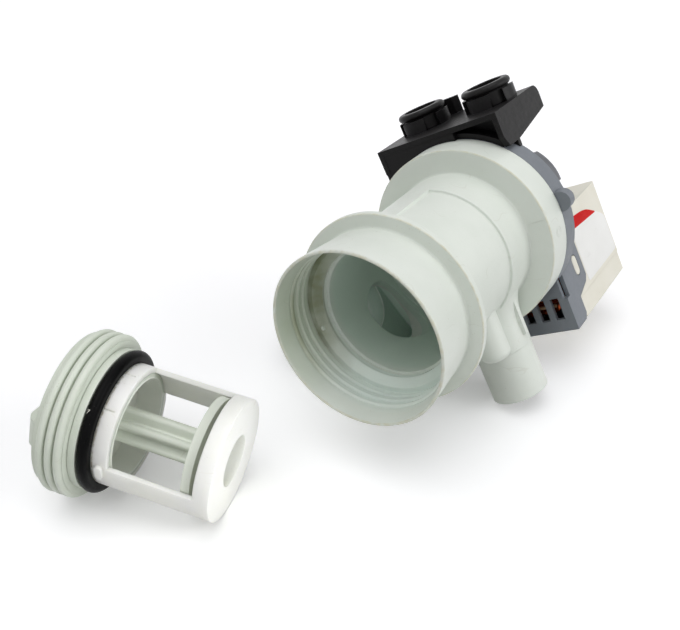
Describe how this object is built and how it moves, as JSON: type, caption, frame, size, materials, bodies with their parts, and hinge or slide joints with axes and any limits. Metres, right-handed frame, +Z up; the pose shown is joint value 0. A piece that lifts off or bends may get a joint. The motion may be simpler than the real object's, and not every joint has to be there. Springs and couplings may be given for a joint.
{
  "type": "washing machine drain pump",
  "caption": "Washing machine drain pump with a wide filter mouth, side hose spigots, coil motor and rubber feet, its lint filter taken out beside it.",
  "frame": {"origin": "on the table, under the middle of the box round the pump and its filter", "axes": "+Z up from the table, +Y along the pump's shaft from the filter mouth to the motor, +X to the right seen from the mouth"},
  "size_m": [0.155, 0.2624, 0.1268],
  "materials": {
    "housing_white": "semi-matt polypropylene",
    "shield_grey": "matt grey moulding",
    "coil_cream": "matt cream moulding",
    "lamination": "stacked sheet steel",
    "bobbin_white": "matt moulding",
    "copper": "enamelled copper wire",
    "terminal": "tinned blade",
    "seal_rubber": "soft black rubber",
    "bearing": "carbon bush",
    "bracket_black": "fine-grained black moulding",
    "foot_rubber": "black rubber",
    "cage_white": "semi-matt polypropylene",
    "shaft_steel": "ground steel",
    "rotor_plastic": "black moulding",
    "magnet": "moulded ferrite",
    "filter_green_white": "semi-matt polypropylene"
  },
  "bodies": {
    "pump": {"pump_housing": "housing_white", "motor_shield": "shield_grey", "coil_housing": "coil_cream", "stator_stack": "lamination", "left_bobbin": "bobbin_white", "right_bobbin": "bobbin_white", "left_winding": "copper", "right_winding": "copper", "terminal_blades": "terminal", "rotor_can": "bobbin_white", "can_seal": "seal_rubber", "bearing_plate": "bobbin_white", "front_bearing": "bearing", "rear_bearing": "bearing", "foot_bracket": "bracket_black", "left_foot": "foot_rubber", "right_foot": "foot_rubber", "filter_cage": "cage_white"},
    "rotor": {"rotor_shaft": "shaft_steel", "rotor_sleeve": "rotor_plastic", "rotor_magnet": "magnet", "drive_dog": "rotor_plastic", "impeller_cap": "rotor_plastic"},
    "impeller": {"impeller": "rotor_plastic"},
    "filter_cap": {"filter_cap": "filter_green_white", "filter_core": "filter_green_white", "filter_seal": "seal_rubber"}
  },
  "joints": [
    {"name": "rotor_spin", "type": "hinge", "parent": "pump", "child": "rotor", "pos_m": [0.0255, 0.0447, 0.06387], "axis": [0, -1, 0], "continuous": true},
    {"name": "impeller_play", "type": "hinge", "parent": "rotor", "child": "impeller", "pos_m": [0.0255, 0.0447, 0.06387], "axis": [0, -1, 0], "range_deg": [-95, 95]},
    {"name": "cap_turn", "type": "hinge", "parent": "pump", "child": "filter_cap", "pos_m": [-0.0631, -0.1004, 0.03318], "axis": [0.9572, 0.2458, -0.1531], "continuous": true}
  ]
}
